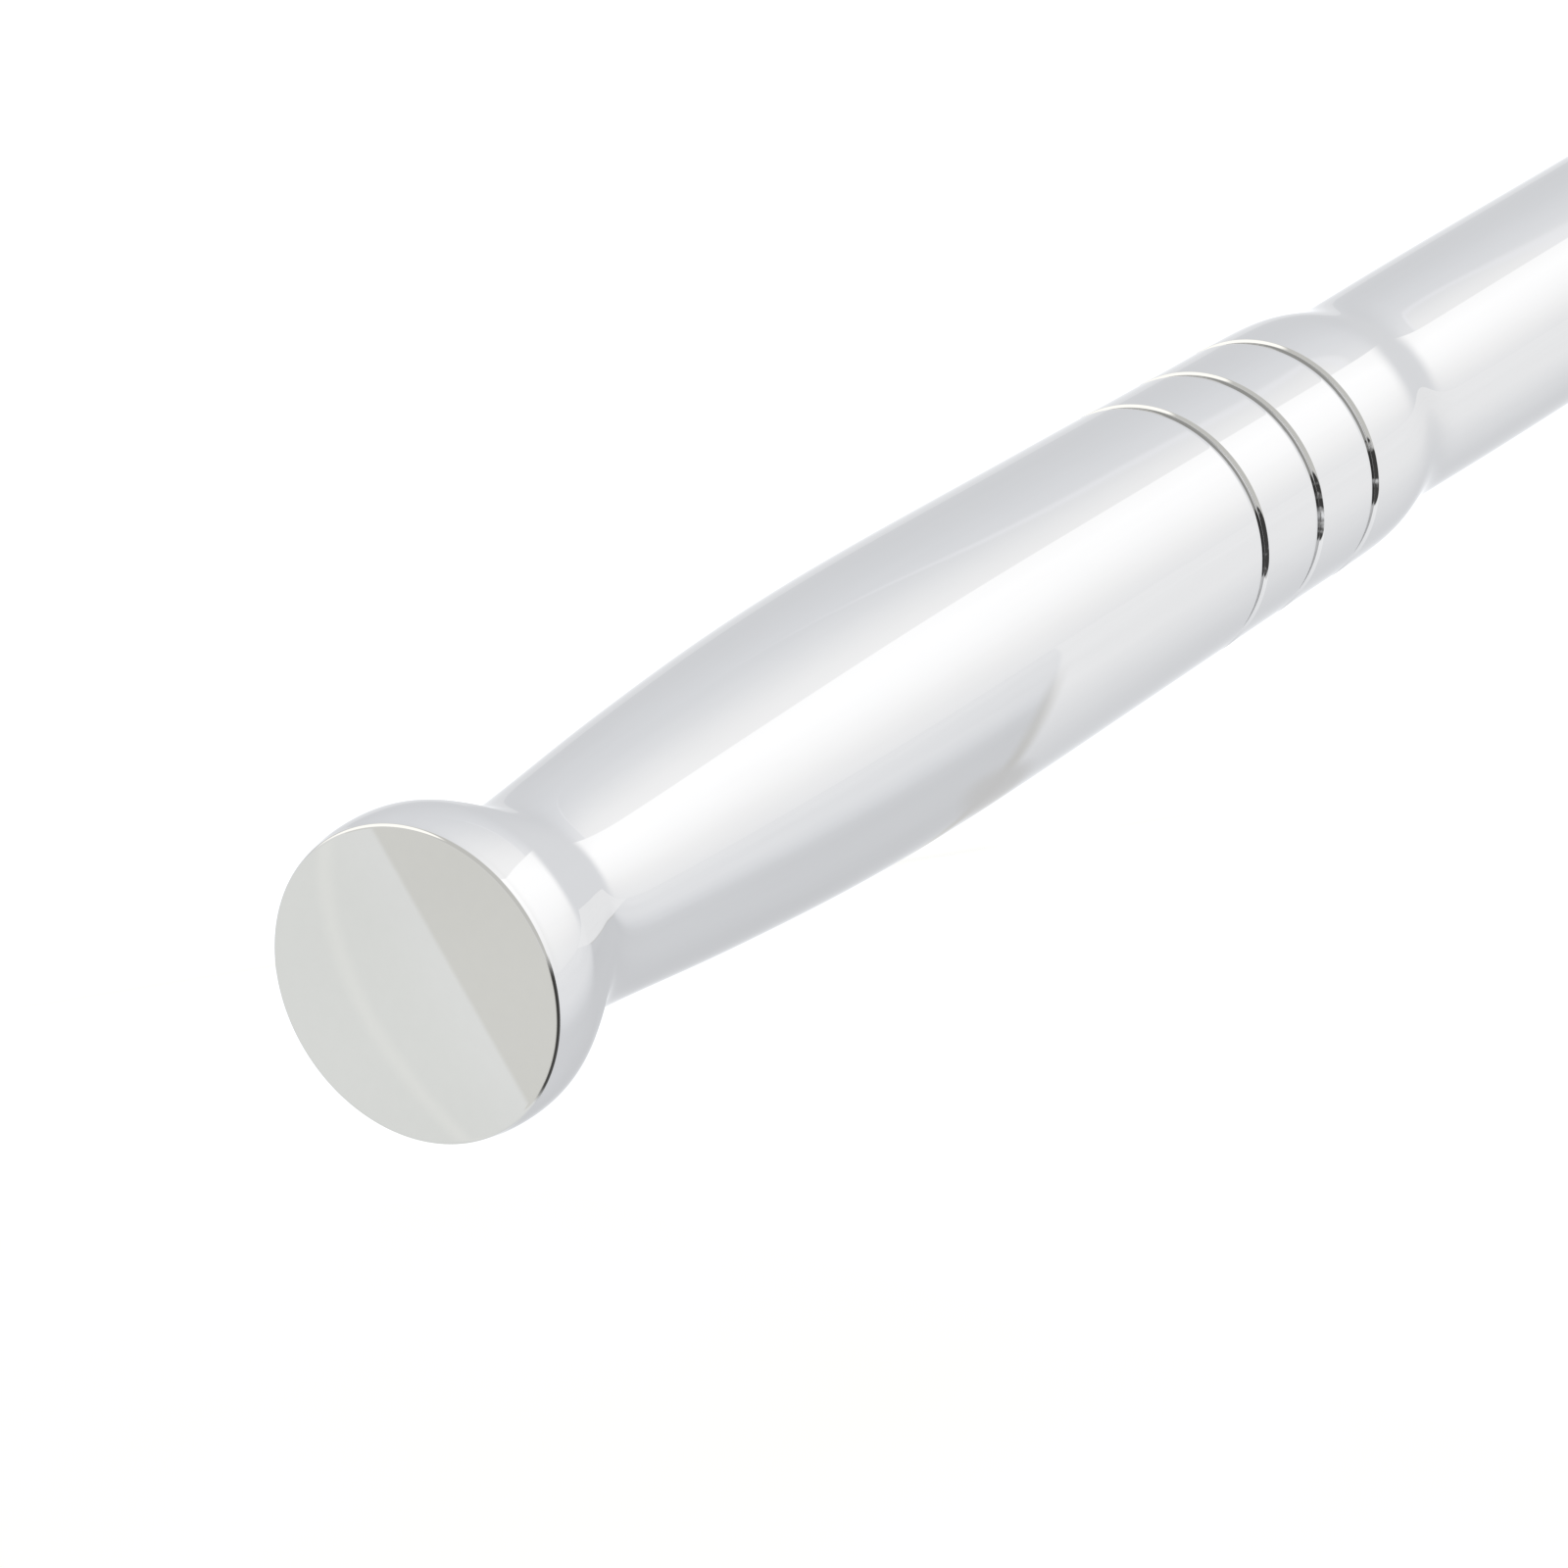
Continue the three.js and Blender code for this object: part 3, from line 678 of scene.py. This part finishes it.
def make_cover_screws():
    for i, (x, y) in enumerate(SCREWS):
        profile = eased([(-8.97, 0), (-8.97, 2.15), (-7.95, 1.22), (-1.5, 1.22), (-1.5, 0)], 0.12, 3)
        piece = turned(f"cover_screw_{i + 1}_body", profile, centre=(x, y, 0), sides=48)
        socket = hexagon(1.9, 15.0 * i) + np.array([x, y])
        combine(piece, [prism("socket", socket, -9.5, -8)])
        crisp(piece)
        finish_piece(piece, "head", "hard_steel", HARD, f"cover_screw_{i + 1}")


# ---- drive ----
def square_outline(size, corner, steps=10):
    h = size / 2 - corner
    places = ((h, -h, -90), (h, h, 0), (-h, h, 90), (-h, -h, 180))
    return np.concatenate([arc(x, y, corner, a, a + 90, steps) for x, y, a in places])


def make_drive():
    tip = []
    for z, shrink in ((JOURNAL_TOP - 3, 0), (SQUARE_TOP - 1.3, 0), (SQUARE_TOP - 1.1, 0.03),
                      (SQUARE_TOP - 0.2, 0.72), (SQUARE_TOP - 0.06, 0.86), (SQUARE_TOP, 1.05)):
        outline = square_outline(SQUARE - 2 * shrink, 1.3 - 0.4 * shrink)
        tip.append(level(outline + np.array([DRIVE_X, 0]), z))
    teeth = np.arange(2 * TEETH) * math.pi / TEETH
    radius = np.where(np.arange(2 * TEETH) % 2, GEAR_ROOT_R, GEAR_TIP_R)
    gear = np.column_stack([DRIVE_X + radius * np.cos(teeth), radius * np.sin(teeth)])
    centre = (DRIVE_X, 0, 0)
    journals = eased([(-9.3, 0), (-9.3, 7.4), (-6.5, 7.4), (-6.5, 9.5), (7.4, 9.5), (7.4, 8.5), (8.7, 8.5),
                      (8.7, 9.5), (JOURNAL_TOP, 9.5), (JOURNAL_TOP, 8.2), (JOURNAL_TOP, 0)], 0.35)
    piece = turned("drive", journals, centre=centre, sides=144)
    combine(piece, [prism("gear", gear, -6.9, 5), loft("square", tip)], "UNION")
    bore = [(-10, 0), (-10, 4.2), (-9.25, 3.95), (-9.25, 4.4), (-8.62, 4.4), (-8.62, 3.95), (-4.4, 3.95),
            (-4.4, 1.95), (24.6, 1.95), (24.6, 0)]
    ball_hole = [(DRIVE_X, 0), (DRIVE_X, BALL_R + 0.12), (DRIVE_X + 8, BALL_R + 0.12), (DRIVE_X + 8, 0)]
    combine(piece, [
        turned("bore", bore, centre=centre, sides=72),
        turned("ball_hole", ball_hole, "x", (0, 0, BALL_Z), 72),
    ])
    crisp(piece)
    finish_piece(piece, "drive", "satin_steel", SATIN, "drive_gear")


def make_ball():
    x = DRIVE_X + SQUARE / 2 + BALL_PROUD - BALL_R
    profile = [(x - BALL_R * math.cos(a), BALL_R * math.sin(a)) for a in np.linspace(0, math.pi, 33)]
    piece = turned("socket_ball", profile, "x", (0, 0, BALL_Z), 64)
    finish_piece(piece, "ball", "hard_steel", HARD, "detent_ball")


def make_button():
    profile = eased([(BUTTON_FACE + 0.25, 0), (BUTTON_FACE, 2.2), (BUTTON_FACE, 3), (-8.55, 3), (-8.55, 3.8),
                     (-7.65, 3.8), (-7.65, 0)], 0.35)
    piece = turned("button", profile, centre=(DRIVE_X, 0, 0), sides=96)
    crisp(piece)
    finish_piece(piece, "button", "polished_chrome", TRIM, "release_button")


def make_lever():
    rings = []
    for z, inset in ((LEVER_FACE, 0.75), (LEVER_FACE + 0.1, 0.4), (LEVER_FACE + 0.35, 0.12),
                     (LEVER_FACE + 0.75, 0), (LEVER_TOP - 0.4, 0), (LEVER_TOP - 0.1, 0.12), (LEVER_TOP, 0.4)):
        rings.append(level(teardrop(0, 6.4 - inset, -8.2, 3.5 - inset, 64), z))
    piece = loft("lever", np.array(rings))
    spindle = eased([(-10, 0), (-10, SPINDLE_R), (5.4, SPINDLE_R), (5.4, 0)], 0.2, 3)
    combine(piece, [turned("spindle", spindle, sides=72)], "UNION")
    groove = [(-9.95, 0), (-9.95, 5.3), (-8.6, 5.3), (-8.6, 0)]
    keep = [(-10.5, 0), (-10.5, SPINDLE_R), (-8, SPINDLE_R), (-8, 0)]
    seal_seat = combine(turned("seat", groove, sides=72), [turned("keep", keep, sides=72)])
    thumb = [turned("thumb", [(-6, 0), (-6, 0.55), (6, 0.55), (6, 0)], "y", (x, 0, LEVER_FACE), 32)
             for x in (-10.6, -9.1, -7.6)]
    bore = turned("bore", [(-2.6, 0), (-2.6, 1.5), (5, 1.5), (5, 0)], "x", sides=48)
    combine(piece, [seal_seat, bore, *thumb])
    points = np.array([v.co for v in piece.data.vertices])
    local = from_row(points)
    c, s = math.cos(SELECTOR_ANGLE), math.sin(SELECTOR_ANGLE)
    swung = np.column_stack([
        SELECTOR_X + c * local[:, 0] - s * local[:, 1], s * local[:, 0] + c * local[:, 1], local[:, 2],
    ])
    piece.data.vertices.foreach_set("co", to_row(swung).ravel())
    piece.data.update()
    crisp(piece)
    finish_piece(piece, "selector", "polished_chrome", TRIM, "selector_lever")


def dress_cad_nodes():
    """The pieces kept as the CAD made them get their real finish."""
    looks = {"polished_chrome": CHROME, "satin_steel": SATIN, "hard_steel": HARD,
             "spring_steel": SPRING, "seal_rubber": RUBBER}
    slots = {part["node"]: part["material_slot"] for part in frame["record"]["subparts"]}
    for name, node in frame["nodes"].items():
        for slot in node.material_slots:
            slot.material = looks[slots[name]]
    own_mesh(frame["nodes"]["release_spring"])


# ---- studio ----
def cool(level):
    """A grey of this brightness; the dimmer ones lean slightly to blue."""
    lean = max(0.0, min(1.0, (1.5 - level) / 0.3))
    return (level * (1 - 0.016 * lean), level, level * (1 + 0.028 * lean))


def spread(g, value, low, high, table):
    """A ramp of brightness over a stretch of some value; the ramp holds halves."""
    share = g.smooth(value, low, high)
    share.node.interpolation_type = "LINEAR"
    stops = [((at - low) / (high - low), [v / 2 for v in cool(level)]) for at, level in table]
    return g.ramp(share, stops)


# How bright the table top glows across the handle, in millimetres from its axis: on the white
# sheet under the shaft, and on the bare table beyond the sheet's edge. The dip near the axis is
# painted shade under the handle.
SHEET = [(-200, 1.41), (-30, 1.41), (-22, 1.36), (-14, 1.28), (-8, 1.19), (-3, 1.17), (10, 1.17),
         (30, 1.19), (80, 1.22), (200, 1.25)]
TABLE = [(-200, 1.33), (-100, 1.30), (-48, 1.28), (-38, 1.23), (-31, 1.16), (-27, 1.09),
         (-22, 1.06), (-14, 1.1), (0, 1.1), (14, 1.12), (40, 1.17), (200, 1.22)]
SHEET_EDGE = ((67, -6), (115, -40))
STRIP_EDGE = ((-46, 34.4), (-8.8, -4.1))  # a second edge, behind the flat end
CREASE = ((-118, -81.4), 140)  # a long faint curve behind the flat end: centre and radius
SPOT = (73, -9)  # a greyer spot by the sheet's edge


def beside(g, x, y, ends):
    """Distance in millimetres from a line on the table, positive towards +X."""
    (x0, y0), (x1, y1) = ends
    length = math.hypot(x1 - x0, y1 - y0)
    nx, ny = (y0 - y1) / length, (x1 - x0) / length
    along = g.math("ADD", g.math("MULTIPLY", x, nx), g.math("MULTIPLY", y, ny))
    return g.math("SUBTRACT", along, nx * x0 + ny * y0)


def away(g, x, y, point):
    """Distance in millimetres from a point on the table."""
    dx, dy = g.math("SUBTRACT", x, point[0]), g.math("SUBTRACT", y, point[1])
    return g.math("SQRT", g.math("ADD", g.math("POWER", dx, 2.0), g.math("POWER", dy, 2.0)))


def make_floor():
    bpy.ops.mesh.primitive_plane_add(size=60, location=(0, 0, 0))
    floor = bpy.context.object
    floor.name = "studio_floor"
    material, g, shader = new_material("lit_table")
    place = g.node("ShaderNodeSeparateXYZ")
    g.put(place.inputs[0], g.node("ShaderNodeTexCoord").outputs["Object"])
    x = g.math("MULTIPLY", g.math("SUBTRACT", place.outputs[0], END_X), 1 / MM)
    y = g.math("MULTIPLY", place.outputs[1], 1 / MM)
    sheet, table = spread(g, y, -200, 200, SHEET), spread(g, y, -200, 200, TABLE)
    to_sheet = beside(g, x, y, SHEET_EDGE)
    look = g.mix(g.smooth(to_sheet, -0.5, 0.5), table, sheet)
    shade = (0.485, 0.483, 0.47, 1)
    rim = g.math("MULTIPLY", line(g, to_sheet, 1.8), g.smooth(y, -60, -8, 0, 0.9))
    look = g.mix(rim, look, shade)
    look = g.mix(g.smooth(away(g, x, y, SPOT), 3, 7, 0.9, 0), look, (0.506, 0.506, 0.506, 1))
    to_strip = beside(g, x, y, STRIP_EDGE)
    behind = g.smooth(x, -2, 6, 1, 0)
    outer = g.mix(line(g, to_strip, 5), (0.571, 0.580, 0.561, 1), (0.588, 0.595, 0.582, 1))
    crease = line(g, g.math("SUBTRACT", away(g, x, y, CREASE[0]), CREASE[1]), 1.1)
    outer = g.mix(g.math("MULTIPLY", crease, 0.6), outer, (0.62, 0.625, 0.6, 1))
    inner = (0.515, 0.514, 0.487, 1)
    strip = g.mix(g.smooth(to_strip, -0.25, 0.25), inner, outer)
    look = g.mix(behind, look, strip)
    cloud = g.noise(g.stretched((14, 26, 1)), 1.0, 3.0)
    look = g.mix(1.0, look, g.ramp(cloud, [(0.3, (0.985,) * 3), (0.7, (1.015,) * 3)]), "MULTIPLY")
    shader.inputs["Base Color"].default_value = (0.03, 0.03, 0.03, 1)
    shader.inputs["Roughness"].default_value = 1.0
    shader.inputs["Specular IOR Level"].default_value = 0.0
    # The table top glows with this look instead of being lit; the dip under the handle is painted shade.
    g.put(shader.inputs["Emission Color"], look)
    shader.inputs["Emission Strength"].default_value = 1.98
    floor.data.materials.append(material)


# What surrounds the tool above the table, as a brightness for each direction round the handle's
# axis, in degrees from +Y over the top: a wall and ceiling outside the soft box, then the box.
ROOM = [(0, 1.18), (30, 1.2), (45, 1.2), (60, 1.22), (75, 1.29), (90, 1.4), (100, 1.47), (113, 1.53),
        (180, 1.53)]
BOX = [(0, 1.6), (104, 1.7), (120, 1.76), (132, 1.73), (142, 1.68), (152, 1.61), (162, 1.52), (171, 1.45),
       (180, 1.4)]
BOX_EDGE = (0.203, -0.8175, -0.539)  # the plane through the box's edge nearest +Y
CEILING_LINE = (0.530, 0.167, -0.832)  # the plane through a bright seam across the ceiling
FAR_LEVEL = 1.26  # what the handle points at
WINDOW = (-0.35, 0.75, 0.56)  # towards a warm window on +Y


def turned_to(g, direction, towards):
    made = g.node("ShaderNodeVectorMath", operation="DOT_PRODUCT")
    g.put(made.inputs[0], direction)
    made.inputs[1].default_value = towards
    return made.outputs["Value"]


def make_world():
    world = bpy.data.worlds.new("studio")
    bpy.context.scene.world = world
    world.use_nodes = True
    world.node_tree.nodes.clear()
    g = Graph(world.node_tree)
    direction = g.node("ShaderNodeTexCoord").outputs["Generated"]
    parts = g.node("ShaderNodeSeparateXYZ")
    g.put(parts.inputs[0], direction)
    x, y, z = parts.outputs
    around = g.math("MULTIPLY", g.math("ARCTAN2", g.math("MAXIMUM", z, 0.0), y), 180 / math.pi)
    off_axis = g.math("MULTIPLY", g.math("ARCCOSINE", x), 180 / math.pi)
    room, box = spread(g, around, 0, 180, ROOM), spread(g, around, 0, 180, BOX)
    seam = turned_to(g, direction, CEILING_LINE)
    room = g.mix(g.math("MULTIPLY", g.smooth(seam, 0.0, 0.02), g.smooth(around, 30, 75, 0, 0.5)),
                 room, (0.62, 0.63, 0.65, 1))
    glow = g.math("MULTIPLY", line(g, seam, 0.014), g.smooth(around, 45, 75, 0, 0.5))
    room = g.mix(glow, room, (0.72, 0.725, 0.75, 1))
    inside = g.smooth(turned_to(g, direction, BOX_EDGE), -0.004, 0.004)
    look = g.mix(inside, room, box)
    far = [v / 2 for v in cool(FAR_LEVEL)]
    look = g.mix(g.smooth(off_axis, 13, 26), (*far, 1), look)
    # behind and over the photographer: a dimmer room with that window
    back = g.smooth(off_axis, 58, 80)
    window = g.smooth(turned_to(g, direction, WINDOW), 0.8, 0.86)
    studio = g.mix(window, (0.45, 0.448, 0.425, 1), (0.9, 0.885, 0.83, 1))
    low_light = g.smooth(z, 0.02, 0.2, 1, 0)
    studio = g.mix(low_light, studio, (0.55, 0.55, 0.55, 1))
    look = g.mix(back, look, studio)
    background = g.node("ShaderNodeBackground")
    g.put(background.inputs["Color"], look)
    background.inputs["Strength"].default_value = 2.0
    output = g.node("ShaderNodeOutputWorld")
    g.put(output.inputs["Surface"], background.outputs[0])


bpy.context.scene.view_settings.view_transform = "Standard"
make_camera()
make_world()
make_floor()
make_handle()
make_pivot_screw()
make_washers()
make_head()
make_cover()
make_cover_screws()
make_drive()
make_ball()
make_button()
make_lever()
dress_cad_nodes()
